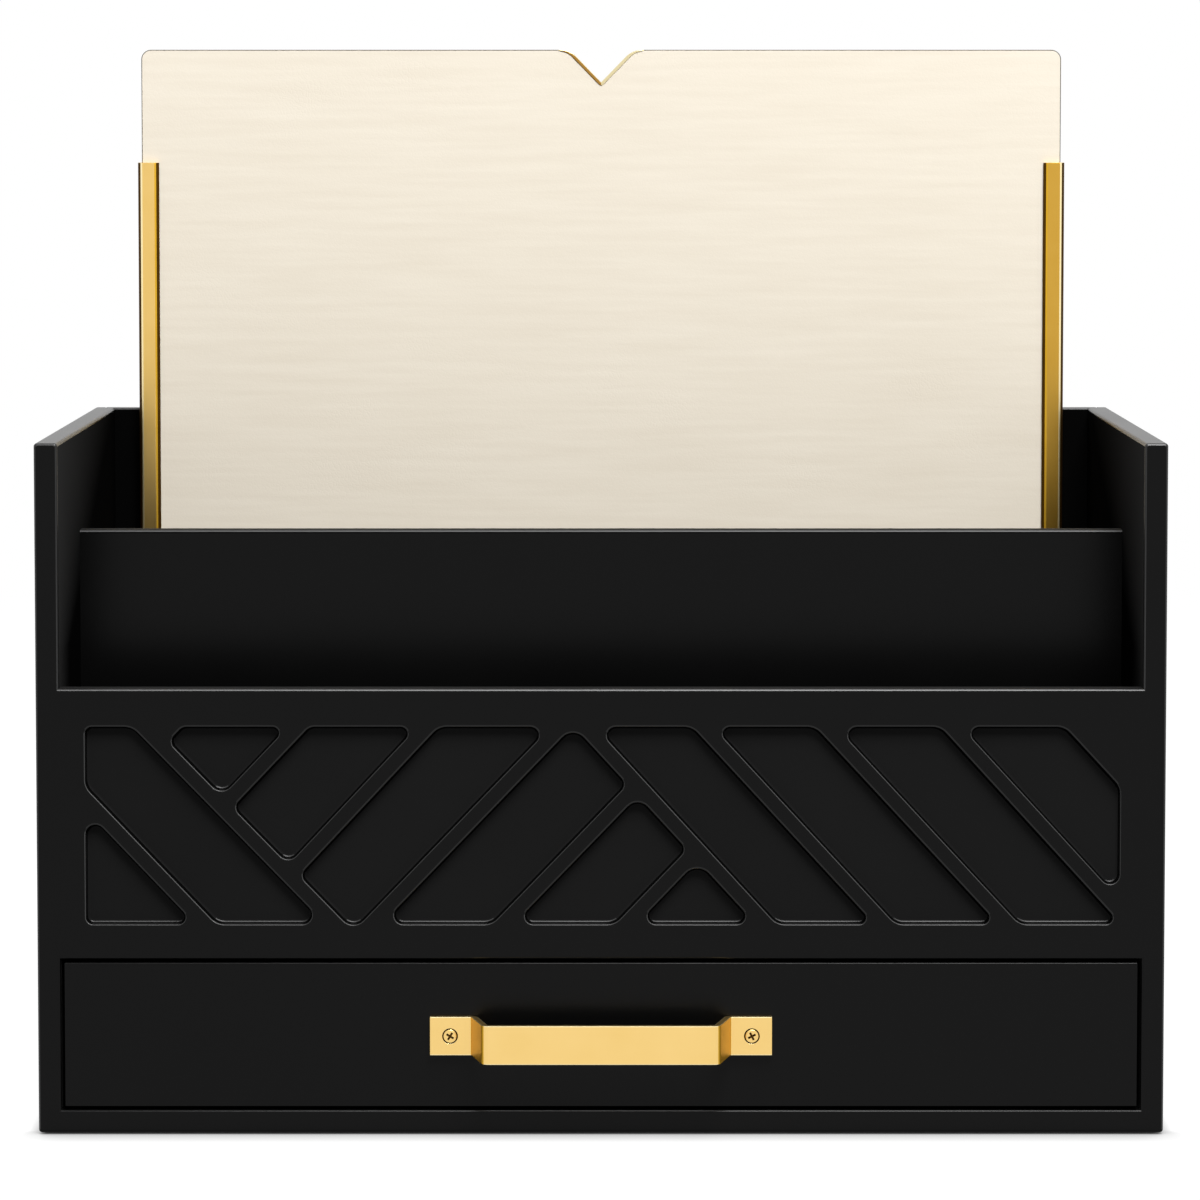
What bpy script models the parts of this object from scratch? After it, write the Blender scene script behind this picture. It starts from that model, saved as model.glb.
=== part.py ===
"""Envelope sorter with a drawer, a desk organiser, at its real size in metres.

The cabinet is seven lacquered boards. Two brass channels stand inside it, against the
back, and hold a tall leatherette board by its side edges. A drawer with a bent brass
handle runs under the compartments. +Z is up, the drawer opens towards -Y, and the
origin is on the desk, under the middle of the whole object, handle included.
"""

import math

import bmesh
import bpy
from mathutils import Matrix, Vector

# Cabinet boards
WIDTH = 0.336
DEPTH = 0.180
BODY_HEIGHT = 0.2065
PANEL = 0.007
BACK_PANEL = 0.005
OPENING_HEIGHT = 0.0453
FRONT_PANEL_HEIGHT = 0.0811
PEN_BAY_DEPTH = 0.0555
DIVIDER_DROP = 0.031
EDGE_ROUND = 0.001

# Joints between boards
JOINT_GAP = 0.0003
GROOVE_DEPTH = 0.002
BACK_REBATE = 0.0035
BASE_GROOVE_STOP = 0.012

# Routed pattern on the front panel
FIELD_SIDE_MARGIN = 0.01425
FIELD_END_MARGIN = 0.0111
RIB_WIDTH = 0.005
POCKET_DEPTH = 0.0026
POCKET_CORNER = 0.0024
POCKET_RIM = 0.0008
MOUTH_OVERRUN = 0.00002

# Anti-slip pads
PAD_PROUD = 0.0005
PAD_RADIUS = 0.006
PAD_RECESS = 0.001
PAD_CHAMFER = 0.0002
PAD_INSET = 0.016

# Drawer
DRAWER_REVEAL = 0.001
DRAWER_EDGE_ROUND = 0.0007
DRAWER_WALL = 0.005
DRAWER_BOTTOM = 0.003
DRAWER_BOTTOM_LIFT = 0.003
DRAWER_TOP_PLAY = 0.006
DRAWER_BACK_PLAY = 0.001
RUN_GAP = 0.0003

# Handle, a bent strap
HANDLE_LENGTH = 0.102
HANDLE_PAD = 0.0121
HANDLE_BAR = 0.0705
HANDLE_PROJECTION = 0.017
STRAP_WIDTH = 0.0116
STRAP_THICKNESS = 0.002
STRAP_BEND = 0.0005
STRAP_EDGE_ROUND = 0.0004

# Screws
HEAD_RADIUS = 0.0022
HEAD_DOME = 0.0003
HEAD_RIM = 0.0006
HEAD_CONE = 0.0012
SHANK_RADIUS = 0.0012
HOLE_END_WALL = 0.0015
DRIVE_WIDTH = 0.0006
DRIVE_LENGTH = 0.0026
DRIVE_DEPTH = 0.0008

# Brass channels and the board they hold
RAIL_HEIGHT = 0.228
RAIL_WIDTH = 0.007
RAIL_WALL = 0.001
RAIL_SIDE_GAP = 0.0086
RAIL_SCREW_INSET = 0.024
BOARD_HEIGHT = 0.265
BOARD_THICKNESS = 0.0028
BOARD_PLAY = 0.0003
BOARD_CORNER = 0.0032
NOTCH_WIDTH = 0.0206
NOTCH_DEPTH = 0.0106
NOTCH_SHOULDER = 0.0075
TRIM_WIDTH = 0.001
TRIM_LAND = 0.0006
TRIM_PROUD = 0.0002

# Fineness of the round shapes
ROUND_SEGMENTS = 2
ARC_STEPS = 5
TURN_STEPS = 24
DOME_SHARES = (0, 0.5)

# Cutters run past the faces they open by this much
OVERRUN = 0.002
MERGE_DISTANCE = 0.000001
SHARP_ANGLE = math.radians(40)

# Levels and faces that several pieces share
HANDLE_REACH = HANDLE_PROJECTION + JOINT_GAP
FRONT = HANDLE_REACH - (DEPTH + HANDLE_REACH) / 2
BACK = FRONT + DEPTH
BODY_BOTTOM = PAD_PROUD
BODY_TOP = BODY_BOTTOM + BODY_HEIGHT
BASE_TOP = BODY_BOTTOM + PANEL
OPENING_TOP = BASE_TOP + OPENING_HEIGHT
SHELF_TOP = OPENING_TOP + PANEL
FRONT_PANEL_TOP = OPENING_TOP + FRONT_PANEL_HEIGHT
DIVIDER_TOP = BODY_TOP - DIVIDER_DROP
INNER_HALF = WIDTH / 2 - PANEL
FRONT_PANEL_BACK = FRONT + PANEL
BACK_PANEL_FACE = BACK - BACK_PANEL
DIVIDER_FACE = FRONT_PANEL_BACK + PEN_BAY_DEPTH
TONGUE_HALF = INNER_HALF + GROOVE_DEPTH - JOINT_GAP

# Each rib runs the full height of the field. Its centre line crosses the field's top
# and bottom edges at these shares of the field's width.
RIB_SHARES = {
    "fall_0": (-0.067, 0.114),
    "fall_1": (0.055, 0.240),
    "fall_2": (0.482, 0.657),
    "fall_3": (0.596, 0.772),
    "fall_4": (0.715, 0.892),
    "fall_5": (0.836, 1.011),
    "fall_6": (0.956, 1.133),
    "rise_1": (0.207, 0.025),
    "rise_2": (0.332, 0.153),
    "rise_3": (0.461, 0.277),
    "rise_4": (0.589, 0.405),
    "rise_5": (0.707, 0.524),
}

# The sides of each pocket in turn: ribs, or the straight edges of the field
POCKET_SIDES = (
    ("left", "top", "fall_1", "bottom", "fall_0"),
    ("left", "fall_0", "bottom"),
    ("top", "rise_1", "fall_1"),
    ("top", "rise_2", "fall_1", "rise_1"),
    ("top", "rise_3", "fall_1", "rise_2"),
    ("fall_2", "rise_4", "bottom", "rise_3"),
    ("fall_2", "rise_5", "bottom", "rise_4"),
    ("fall_2", "bottom", "rise_5"),
    ("top", "fall_3", "bottom", "fall_2"),
    ("top", "fall_4", "bottom", "fall_3"),
    ("top", "fall_5", "bottom", "fall_4"),
    ("top", "fall_6", "right", "fall_5"),
)


def remove_all_objects():
    for obj in list(bpy.data.objects):
        bpy.data.objects.remove(obj, do_unlink=True)


def make_material(name, colour, roughness, metallic=0.0):
    material = bpy.data.materials.new(name)
    material.use_nodes = True
    shader = material.node_tree.nodes["Principled BSDF"]
    shader.inputs["Base Color"].default_value = (*colour, 1.0)
    shader.inputs["Roughness"].default_value = roughness
    shader.inputs["Metallic"].default_value = metallic
    material.diffuse_color = (*colour, 1.0)
    return material


def add_empty(name, location):
    empty = bpy.data.objects.new(name, None)
    empty.location = location
    bpy.context.collection.objects.link(empty)
    return empty


def add_object(name, bm, location, parent, material=None):
    """Turn a bmesh into an object at a place given in the world."""
    mesh = bpy.data.meshes.new(name)
    bm.to_mesh(mesh)
    bm.free()
    obj = bpy.data.objects.new(name, mesh)
    bpy.context.collection.objects.link(obj)
    obj.parent = parent
    obj.location = Vector(location) - parent.location
    if material:
        mesh.materials.append(material)
        mesh.shade_smooth()
        mesh.set_sharp_from_angle(angle=SHARP_ANGLE)
    return obj


def make_cutter(obj):
    obj.hide_render = True
    obj.display_type = "WIRE"
    return obj


def cut(target, cutter):
    boolean = target.modifiers.new(cutter.name, "BOOLEAN")
    boolean.operation = "DIFFERENCE"
    boolean.solver = "EXACT"
    boolean.object = cutter


def edge_sides(edge):
    """Name the two faces of a box centred on its origin that meet at an edge."""
    names = (("left", "right"), ("front", "back"), ("bottom", "top"))
    middle = (edge.verts[0].co + edge.verts[1].co) / 2
    return " ".join(pair[value > 0] for pair, value in zip(names, middle)
                    if abs(value) > MERGE_DISTANCE)


def block_mesh(size, rounded=(), radius=EDGE_ROUND):
    bm = bmesh.new()
    bmesh.ops.create_cube(bm, size=1.0, matrix=Matrix.Diagonal((*size, 1.0)))
    edges = [edge for edge in bm.edges if edge_sides(edge) in rounded]
    if edges:
        bmesh.ops.bevel(bm, geom=edges, offset=radius, offset_type="OFFSET",
                        segments=ROUND_SEGMENTS, profile=0.5, affect="EDGES",
                        clamp_overlap=True, material=-1)
    return bm


def add_block(name, low, high, parent, material=None, rounded=(), radius=EDGE_ROUND):
    """A board between its lowest and highest corner, with some edges rounded."""
    low = Vector(low)
    high = Vector(high)
    bm = block_mesh(high - low, rounded, radius)
    return add_object(name, bm, (low + high) / 2, parent, material)


def cut_block(target, name, low, high, parent):
    cut(target, make_cutter(add_block(name, low, high, parent)))


def prism_mesh(outline, start, end, along):
    """Extrude an outline: drawn in XY and grown along Z, or in XZ and grown along Y."""
    def place(first, second, depth):
        return (first, second, depth) if along == "Z" else (first, depth, second)

    bm = bmesh.new()
    face = bm.faces.new([bm.verts.new(place(point[0], point[1], start))
                         for point in outline])
    grown = bmesh.ops.extrude_face_region(bm, geom=[face])["geom"]
    moved = [item for item in grown if isinstance(item, bmesh.types.BMVert)]
    bmesh.ops.translate(bm, verts=moved, vec=place(0, 0, end - start))
    bmesh.ops.recalc_face_normals(bm, faces=bm.faces[:])
    return bm


def turned_mesh(profile, axis):
    """Turn a profile of (radius, distance along the axis) into a solid of revolution."""
    bm = bmesh.new()
    points = []
    for radius, distance in profile:
        across = (radius, 0, distance) if axis == "Z" else (radius, distance, 0)
        points.append(bm.verts.new(across))
    edges = [bm.edges.new(pair) for pair in zip(points, points[1:])]
    direction = (0, 0, 1) if axis == "Z" else (0, 1, 0)
    bmesh.ops.spin(bm, geom=points + edges, cent=(0, 0, 0), axis=direction,
                   angle=math.tau, steps=TURN_STEPS, use_merge=True)
    bmesh.ops.remove_doubles(bm, verts=bm.verts[:], dist=MERGE_DISTANCE)
    bmesh.ops.recalc_face_normals(bm, faces=bm.faces[:])
    return bm


def fillet(corners, radii, steps=ARC_STEPS):
    """Round the corners of a closed outline, each with its own radius."""
    outline = []
    for index, corner in enumerate(corners):
        if radii[index] == 0:
            outline.append(corner)
            continue
        before = (corners[index - 1] - corner).normalized()
        after = (corners[(index + 1) % len(corners)] - corner).normalized()
        half_angle = before.angle(after) / 2
        reach = radii[index] / math.tan(half_angle)
        centre = corner + (before + after).normalized() * radii[index] / math.sin(half_angle)
        spoke = corner + before * reach - centre
        last_spoke = corner + after * reach - centre
        sweep = math.atan2(spoke.cross(last_spoke), spoke.dot(last_spoke))
        for step in range(steps + 1):
            turn = Matrix.Rotation(sweep * step / steps, 2)
            outline.append(centre + turn @ spoke)
    return outline


def crossing(line, other):
    """The point where two lines meet, each given as a point and a direction."""
    point, direction = line
    other_point, other_direction = other
    along = (other_point - point).cross(other_direction) / direction.cross(other_direction)
    return point + direction * along


def field_lines():
    """Every straight line that can bound a pocket, in the front panel's X and Z."""
    half_width = WIDTH / 2 - FIELD_SIDE_MARGIN
    half_height = FRONT_PANEL_HEIGHT / 2 - FIELD_END_MARGIN
    lines = {
        "left": (Vector((-half_width, 0)), Vector((0, 1))),
        "right": (Vector((half_width, 0)), Vector((0, 1))),
        "top": (Vector((0, half_height)), Vector((1, 0))),
        "bottom": (Vector((0, -half_height)), Vector((1, 0))),
    }
    for name, (top_share, bottom_share) in RIB_SHARES.items():
        top = Vector(((2 * top_share - 1) * half_width, half_height))
        bottom = Vector(((2 * bottom_share - 1) * half_width, -half_height))
        lines[name] = (top, (bottom - top).normalized())
    return lines


def pocket_outline(sides, grow):
    """A pocket's rounded outline at its walls, or grown outwards by some distance."""
    lines = field_lines()
    bounds = [lines[side] for side in sides]
    corners = [crossing(bounds[index - 1], bound) for index, bound in enumerate(bounds)]
    middle = sum(corners, Vector((0, 0))) / len(corners)
    walls = []
    for side, (point, direction) in zip(sides, bounds):
        inset = RIB_WIDTH / 2 if side in RIB_SHARES else 0
        inward = Vector((-direction.y, direction.x))
        if inward.dot(middle - point) < 0:
            inward.negate()
        walls.append((point + inward * (inset - grow), direction))
    corners = [crossing(walls[index - 1], wall) for index, wall in enumerate(walls)]
    return fillet(corners, [POCKET_CORNER + grow] * len(corners))


def pocket_mesh(sides):
    """One pocket as a solid: a mouth with a rounded rim, straight walls and a floor."""
    face = -PANEL / 2
    levels = [(face - OVERRUN, POCKET_RIM), (face - MOUTH_OVERRUN, POCKET_RIM)]
    for step in range(1, ROUND_SEGMENTS + 1):
        angle = math.pi / 2 * step / ROUND_SEGMENTS
        levels.append((face + POCKET_RIM * (1 - math.cos(angle)),
                       POCKET_RIM * (1 - math.sin(angle))))
    levels.append((face + POCKET_DEPTH, 0))
    bm = bmesh.new()
    rings = [[bm.verts.new((point.x, depth, point.y)) for point in pocket_outline(sides, grow)]
             for depth, grow in levels]
    for ring, following in zip(rings, rings[1:]):
        for index in range(len(ring)):
            bm.faces.new((ring[index - 1], ring[index], following[index],
                          following[index - 1]))
    bm.faces.new(rings[0])
    bm.faces.new(rings[-1])
    bmesh.ops.recalc_face_normals(bm, faces=bm.faces[:])
    return bm


def offset_path(path, distance):
    """Shift an open path sideways, with its corners mitred."""
    shifted = []
    runs = []
    for start, end in zip(path, path[1:]):
        direction = (end - start).normalized()
        normal = Vector((-direction.y, direction.x))
        runs.append((start + normal * distance, direction))
    shifted.append(runs[0][0])
    for run, following in zip(runs, runs[1:]):
        shifted.append(crossing(run, following))
    last = path[-1] - path[-2]
    shifted.append(path[-1] + Vector((-last.y, last.x)).normalized() * distance)
    return shifted


def strap_outline():
    """The handle seen from above, pads on the drawer's face and the bar towards -Y."""
    half = STRAP_THICKNESS / 2
    foot = HANDLE_LENGTH / 2 - HANDLE_PAD - half
    bar = HANDLE_BAR / 2 - half
    ends = [Vector((HANDLE_LENGTH / 2, -half)), Vector((foot, -half)),
            Vector((bar, half - HANDLE_PROJECTION))]
    path = [Vector((-point.x, point.y)) for point in ends] + ends[::-1]
    inner = STRAP_BEND
    outer = STRAP_BEND + STRAP_THICKNESS
    left = offset_path(path, half)
    right = offset_path(path, -half)
    left_radii = [0, outer, inner, inner, outer, 0]
    right_radii = [0, inner, outer, outer, inner, 0]
    return fillet(left + right[::-1], left_radii + right_radii[::-1])


def screw_profile(length, grow):
    """A countersunk screw from its domed head to its tip, or the hole that it needs."""
    head = HEAD_RADIUS + grow
    shank = SHANK_RADIUS + grow
    dome = [(HEAD_RADIUS * share, -HEAD_DOME * (1 - share ** 2)) for share in DOME_SHARES]
    mouth = [(0, -OVERRUN), (head, -OVERRUN)]
    return (mouth if grow else dome) + [
        (head, 0),
        (head, HEAD_RIM),
        (shank, HEAD_CONE + grow),
        (shank, length - SHANK_RADIUS + grow),
        (0, length + grow),
    ]


def add_screw(name, place, length, parent, material, targets, turned=0.0):
    """A screw with a cross drive, and the same hole cut in every board that it holds."""
    screw = add_object(name, turned_mesh(screw_profile(length, 0), "Y"), place, parent,
                       material)
    screw.rotation_euler.z = turned
    for number, size in enumerate(((DRIVE_LENGTH, DRIVE_WIDTH), (DRIVE_WIDTH, DRIVE_LENGTH))):
        bm = block_mesh((size[0], 2 * DRIVE_DEPTH, size[1]))
        drive = add_object(f"{name}_drive_{number}", bm, place, parent)
        cut(screw, make_cutter(drive))
    bm = turned_mesh(screw_profile(length, JOINT_GAP), "Y")
    hole = make_cutter(add_object(f"{name}_hole", bm, place, parent))
    hole.rotation_euler.z = turned
    for target in targets:
        cut(target, hole)


def build_side_panel(side, lacquer, root):
    """A full-height side, grooved for the base, the shelf and the divider."""
    name = "left" if side < 0 else "right"
    inner = side * INNER_HALF
    outer = side * WIDTH / 2
    rounded = [f"{name} front", f"{name} back", f"{name} top", f"{name} bottom",
               "front top", "back top", "front bottom", "back bottom",
               "right top" if side < 0 else "left top"]
    panel = add_block(f"{name}_side_panel",
                      (min(inner, outer), FRONT, BODY_BOTTOM),
                      (max(inner, outer), BACK, BODY_TOP), root, lacquer, rounded)
    floor = side * (INNER_HALF + GROOVE_DEPTH)
    mouth = side * (INNER_HALF - OVERRUN)
    grooves = {
        "base": (FRONT + BASE_GROOVE_STOP, BACK_PANEL_FACE + BACK_PANEL / 2,
                 BODY_BOTTOM - OVERRUN, BASE_TOP + JOINT_GAP),
        "shelf": (FRONT_PANEL_BACK, BACK_PANEL_FACE + BACK_PANEL / 2,
                  OPENING_TOP - JOINT_GAP, SHELF_TOP + JOINT_GAP),
        "divider": (DIVIDER_FACE - JOINT_GAP, DIVIDER_FACE + PANEL + JOINT_GAP,
                    SHELF_TOP, DIVIDER_TOP + JOINT_GAP),
    }
    for board, (front, back, bottom, top) in grooves.items():
        cut_block(panel, f"{name}_{board}_groove", (min(floor, mouth), front, bottom),
                  (max(floor, mouth), back, top), root)
    step = side * (INNER_HALF + BACK_REBATE)
    cut_block(panel, f"{name}_back_rebate",
              (min(step, mouth), BACK_PANEL_FACE - JOINT_GAP, BODY_BOTTOM - OVERRUN),
              (max(step, mouth), BACK + OVERRUN, BODY_TOP + OVERRUN), root)
    return panel


def build_base_panel(lacquer, root):
    """The bottom board. Its tongues stop short of the front edge, which stays whole."""
    body = INNER_HALF - JOINT_GAP
    stop = FRONT + BASE_GROOVE_STOP + JOINT_GAP
    end = BACK_PANEL_FACE - JOINT_GAP
    half = [(body, FRONT), (body, stop), (TONGUE_HALF, stop), (TONGUE_HALF, end)]
    outline = half + [(-x, y) for x, y in reversed(half)]
    bm = prism_mesh(outline, 0, PANEL, "Z")
    front_edges = [edge for edge in bm.edges
                   if all(abs(vert.co.y - FRONT) < MERGE_DISTANCE for vert in edge.verts)
                   and abs(edge.verts[0].co.x - edge.verts[1].co.x) > body]
    bmesh.ops.bevel(bm, geom=front_edges, offset=EDGE_ROUND, offset_type="OFFSET",
                    segments=ROUND_SEGMENTS, profile=0.5, affect="EDGES",
                    clamp_overlap=True, material=-1)
    return add_object("base_panel", bm, (0, 0, BODY_BOTTOM), root, lacquer)


def build_front_panel(lacquer, root):
    """The fixed front board, with twelve shallow pockets between diagonal ribs."""
    half = INNER_HALF - JOINT_GAP
    panel = add_block("front_panel", (-half, FRONT, OPENING_TOP),
                      (half, FRONT_PANEL_BACK, FRONT_PANEL_TOP), root, lacquer,
                      ("front top", "back top", "front bottom"))
    centre = (0, FRONT + PANEL / 2, OPENING_TOP + FRONT_PANEL_HEIGHT / 2)
    for number, sides in enumerate(POCKET_SIDES, 1):
        bm = pocket_mesh(sides)
        cut(panel, make_cutter(add_object(f"pocket_{number}", bm, centre, root)))
    return panel


def build_pads(rubber, root, base):
    """Four round anti-slip pads, each let into a shallow recess under the base."""
    top = PAD_PROUD + PAD_RECESS - JOINT_GAP
    outline = [(0, 0), (PAD_RADIUS - PAD_CHAMFER, 0), (PAD_RADIUS, PAD_CHAMFER),
               (PAD_RADIUS, top), (0, top)]
    recess_radius = PAD_RADIUS + JOINT_GAP
    recess = [(0, -OVERRUN), (recess_radius, -OVERRUN), (recess_radius, PAD_RECESS),
              (0, PAD_RECESS)]
    across = INNER_HALF - PAD_INSET
    places = {
        "front_left": (-across, FRONT + PAD_INSET), "front_right": (across, FRONT + PAD_INSET),
        "back_left": (-across, BACK - PAD_INSET), "back_right": (across, BACK - PAD_INSET),
    }
    for corner, (x, y) in places.items():
        hole = add_object(f"pad_recess_{corner}", turned_mesh(recess, "Z"),
                          (x, y, BODY_BOTTOM), root)
        cut(base, make_cutter(hole))
        add_object(f"foot_pad_{corner}", turned_mesh(outline, "Z"), (x, y, 0), root, rubber)


def build_cabinet(lacquer, rubber, root):
    for side in (-1, 1):
        build_side_panel(side, lacquer, root)
    base = build_base_panel(lacquer, root)
    build_pads(rubber, root, base)
    build_front_panel(lacquer, root)
    add_block("shelf_panel", (-TONGUE_HALF, FRONT_PANEL_BACK + JOINT_GAP, OPENING_TOP),
              (TONGUE_HALF, BACK_PANEL_FACE - JOINT_GAP, SHELF_TOP), root, lacquer)
    add_block("divider_panel", (-TONGUE_HALF, DIVIDER_FACE, SHELF_TOP + JOINT_GAP),
              (TONGUE_HALF, DIVIDER_FACE + PANEL, DIVIDER_TOP), root, lacquer,
              ("front top", "back top"))
    half = INNER_HALF + BACK_REBATE - JOINT_GAP
    return add_block("back_panel", (-half, BACK_PANEL_FACE, BODY_BOTTOM),
                     (half, BACK, BODY_TOP), root, lacquer, ("front top", "back top"))


def build_rails(brass, root, back_panel):
    """Two upright U channels, open towards each other, screwed on through the back."""
    slot = BOARD_THICKNESS + 2 * BOARD_PLAY
    depth = slot + 2 * RAIL_WALL
    outer = INNER_HALF - RAIL_SIDE_GAP
    bottom = SHELF_TOP + JOINT_GAP
    rear = BACK_PANEL_FACE - JOINT_GAP
    length = BACK_PANEL + JOINT_GAP + RAIL_WALL
    middle = outer - RAIL_WALL - (RAIL_WIDTH - RAIL_WALL) / 2
    heights = {"lower": SHELF_TOP + RAIL_SCREW_INSET, "upper": BODY_TOP - RAIL_SCREW_INSET}
    for side, name in ((-1, "left"), (1, "right")):
        web = RAIL_WIDTH - RAIL_WALL
        section = [(0, -depth), (RAIL_WIDTH, -depth), (RAIL_WIDTH, 0), (0, 0),
                   (0, -RAIL_WALL), (web, -RAIL_WALL), (web, RAIL_WALL - depth),
                   (0, RAIL_WALL - depth)]
        section = [(side * (x - RAIL_WIDTH), y) for x, y in section]
        rail = add_object(f"{name}_rail", prism_mesh(section, 0, RAIL_HEIGHT, "Z"),
                          (side * outer, rear, bottom), root, brass)
        for level, height in heights.items():
            add_screw(f"{name}_rail_screw_{level}", (side * middle, BACK - HEAD_DOME, height),
                      length - HEAD_DOME - JOINT_GAP, root, brass, (back_panel, rail),
                      turned=math.pi)


def notch_path():
    """The notch in the board's top edge, from the trim's left end to its right end."""
    corner = NOTCH_WIDTH / 2
    slope = math.atan2(NOTCH_DEPTH, corner)
    reach = corner + NOTCH_SHOULDER * math.tan(slope / 2) + TRIM_LAND
    return [Vector((-reach, 0)), Vector((-corner, 0)), Vector((0, -NOTCH_DEPTH)),
            Vector((corner, 0)), Vector((reach, 0))]


def build_board(leatherette, brass, axis):
    """The tall board between the channels, with a V notch edged by a brass trim."""
    top = Vector((0, BOARD_HEIGHT))
    upper = [top + point for point in notch_path()]
    lower = offset_path(upper, -TRIM_WIDTH)
    upper_radii = [0, NOTCH_SHOULDER, 0, NOTCH_SHOULDER, 0]
    bend = NOTCH_SHOULDER - TRIM_WIDTH
    lower_radii = [0, bend, TRIM_WIDTH, bend, 0]
    strip = fillet(upper + lower[::-1], upper_radii + lower_radii)
    reach = BOARD_THICKNESS / 2 + TRIM_PROUD
    add_object("notch_trim", prism_mesh(strip, -reach, reach, "Y"), axis.location, axis, brass)

    half = INNER_HALF - RAIL_SIDE_GAP - RAIL_WALL - BOARD_PLAY
    clearance = TRIM_WIDTH + JOINT_GAP
    seat = offset_path(upper, -clearance)
    play = Vector((JOINT_GAP, 0))
    corners = [Vector((-half, 0)), Vector((-half, BOARD_HEIGHT)), upper[0] - play,
               seat[0] - play, *seat[1:-1], seat[-1] + play, upper[-1] + play,
               Vector((half, BOARD_HEIGHT)), Vector((half, 0))]
    bend = NOTCH_SHOULDER - clearance
    radii = [0, BOARD_CORNER, 0, 0, bend, clearance, bend, 0, 0, BOARD_CORNER, 0]
    reach = BOARD_THICKNESS / 2
    add_object("back_board", prism_mesh(fillet(corners, radii), -reach, reach, "Y"),
               axis.location, axis, leatherette)


def build_drawer_box(lacquer, axis, front_panel, half, bottom, rear):
    """Two sides, a back and a bottom let into grooves, behind the drawer's front."""
    start = FRONT_PANEL_BACK + JOINT_GAP
    top = OPENING_TOP - DRAWER_TOP_PLAY
    inner = half - DRAWER_WALL
    back_face = rear - DRAWER_WALL
    floor = bottom + DRAWER_BOTTOM_LIFT
    groove_low = floor - JOINT_GAP
    groove_high = floor + DRAWER_BOTTOM + JOINT_GAP
    for side, name in ((-1, "left"), (1, "right")):
        faces = sorted((side * inner, side * half))
        wall = add_block(f"drawer_{name}_side", (faces[0], start, bottom),
                         (faces[1], rear, top), axis, lacquer)
        groove = sorted((side * (inner - OVERRUN), side * (inner + GROOVE_DEPTH)))
        cut_block(wall, f"drawer_{name}_groove", (groove[0], start - OVERRUN, groove_low),
                  (groove[1], rear + OVERRUN, groove_high), axis)
    back = add_block("drawer_back", (JOINT_GAP - inner, back_face, bottom),
                     (inner - JOINT_GAP, rear, top), axis, lacquer)
    reach = inner + GROOVE_DEPTH
    cut_block(back, "drawer_back_groove", (-reach, back_face - OVERRUN, groove_low),
              (reach, back_face + GROOVE_DEPTH, groove_high), axis)
    cut_block(front_panel, "drawer_front_groove",
              (-reach, FRONT_PANEL_BACK - GROOVE_DEPTH, groove_low),
              (reach, FRONT_PANEL_BACK + OVERRUN, groove_high), axis)
    tongue = GROOVE_DEPTH - JOINT_GAP
    add_block("drawer_bottom", (-inner - tongue, FRONT_PANEL_BACK - tongue, floor),
              (inner + tongue, back_face + tongue, floor + DRAWER_BOTTOM), axis, lacquer)


def build_drawer(lacquer, brass, axis):
    half = INNER_HALF - DRAWER_REVEAL
    low = BASE_TOP + DRAWER_REVEAL
    high = OPENING_TOP - DRAWER_REVEAL
    rounded = ("left front", "right front", "front top", "front bottom")
    front_panel = add_block("drawer_front", (-half, FRONT, low),
                            (half, FRONT_PANEL_BACK, high), axis, lacquer, rounded,
                            DRAWER_EDGE_ROUND)
    build_drawer_box(lacquer, axis, front_panel, half, BASE_TOP + RUN_GAP,
                     BACK_PANEL_FACE - DRAWER_BACK_PLAY)

    centre = Vector((0, FRONT, (low + high) / 2))
    seat = FRONT - JOINT_GAP
    strap = prism_mesh(strap_outline(), -STRAP_WIDTH / 2, STRAP_WIDTH / 2, "Z")
    handle = add_object("drawer_handle", strap, (0, seat, centre.z), axis, brass)
    bevel = handle.modifiers.new("rounded_edges", "BEVEL")
    bevel.width = STRAP_EDGE_ROUND
    bevel.segments = ROUND_SEGMENTS
    bevel.limit_method = "ANGLE"
    bevel.angle_limit = SHARP_ANGLE
    face = seat - STRAP_THICKNESS
    length = FRONT_PANEL_BACK - HOLE_END_WALL - face
    across = (HANDLE_LENGTH - HANDLE_PAD) / 2
    for side, name in ((-1, "left"), (1, "right")):
        add_screw(f"handle_screw_{name}", (side * across, face, centre.z), length, axis,
                  brass, (handle, front_panel))


def main():
    remove_all_objects()
    lacquer = make_material("satin_black_lacquer", (0.012, 0.012, 0.012), 0.42)
    brass = make_material("satin_brass", (0.86, 0.60, 0.22), 0.28, 1.0)
    leatherette = make_material("cream_leatherette", (0.90, 0.84, 0.72), 0.60)
    rubber = make_material("black_rubber", (0.02, 0.02, 0.02), 0.85)

    root = add_empty("cabinet_root", (0, 0, 0))
    back_panel = build_cabinet(lacquer, rubber, root)
    build_rails(brass, root, back_panel)

    drawer_axis = add_empty("drawer_slide_axis", (0, FRONT, BASE_TOP + OPENING_HEIGHT / 2))
    build_drawer(lacquer, brass, drawer_axis)

    channel_middle = BACK_PANEL_FACE - JOINT_GAP - RAIL_WALL - BOARD_PLAY - BOARD_THICKNESS / 2
    board_axis = add_empty("board_lift_axis", (0, channel_middle, SHELF_TOP + JOINT_GAP))
    build_board(leatherette, brass, board_axis)


main()
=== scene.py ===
# %% [markdown]
# # An envelope sorter with a drawer
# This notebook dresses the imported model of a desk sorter: a black lacquered cabinet with
# a pen bay, an envelope bay and a drawer, a bent brass handle, and a tall leatherette
# board that stands between two brass channels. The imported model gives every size. Each
# piece that shows is then made again here with the soft edges and the finishes that the
# eye expects, and rides on the same moving body as the solid that it stands for.

import itertools
import math

import bmesh
import bpy
from mathutils import Matrix, Vector


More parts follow.
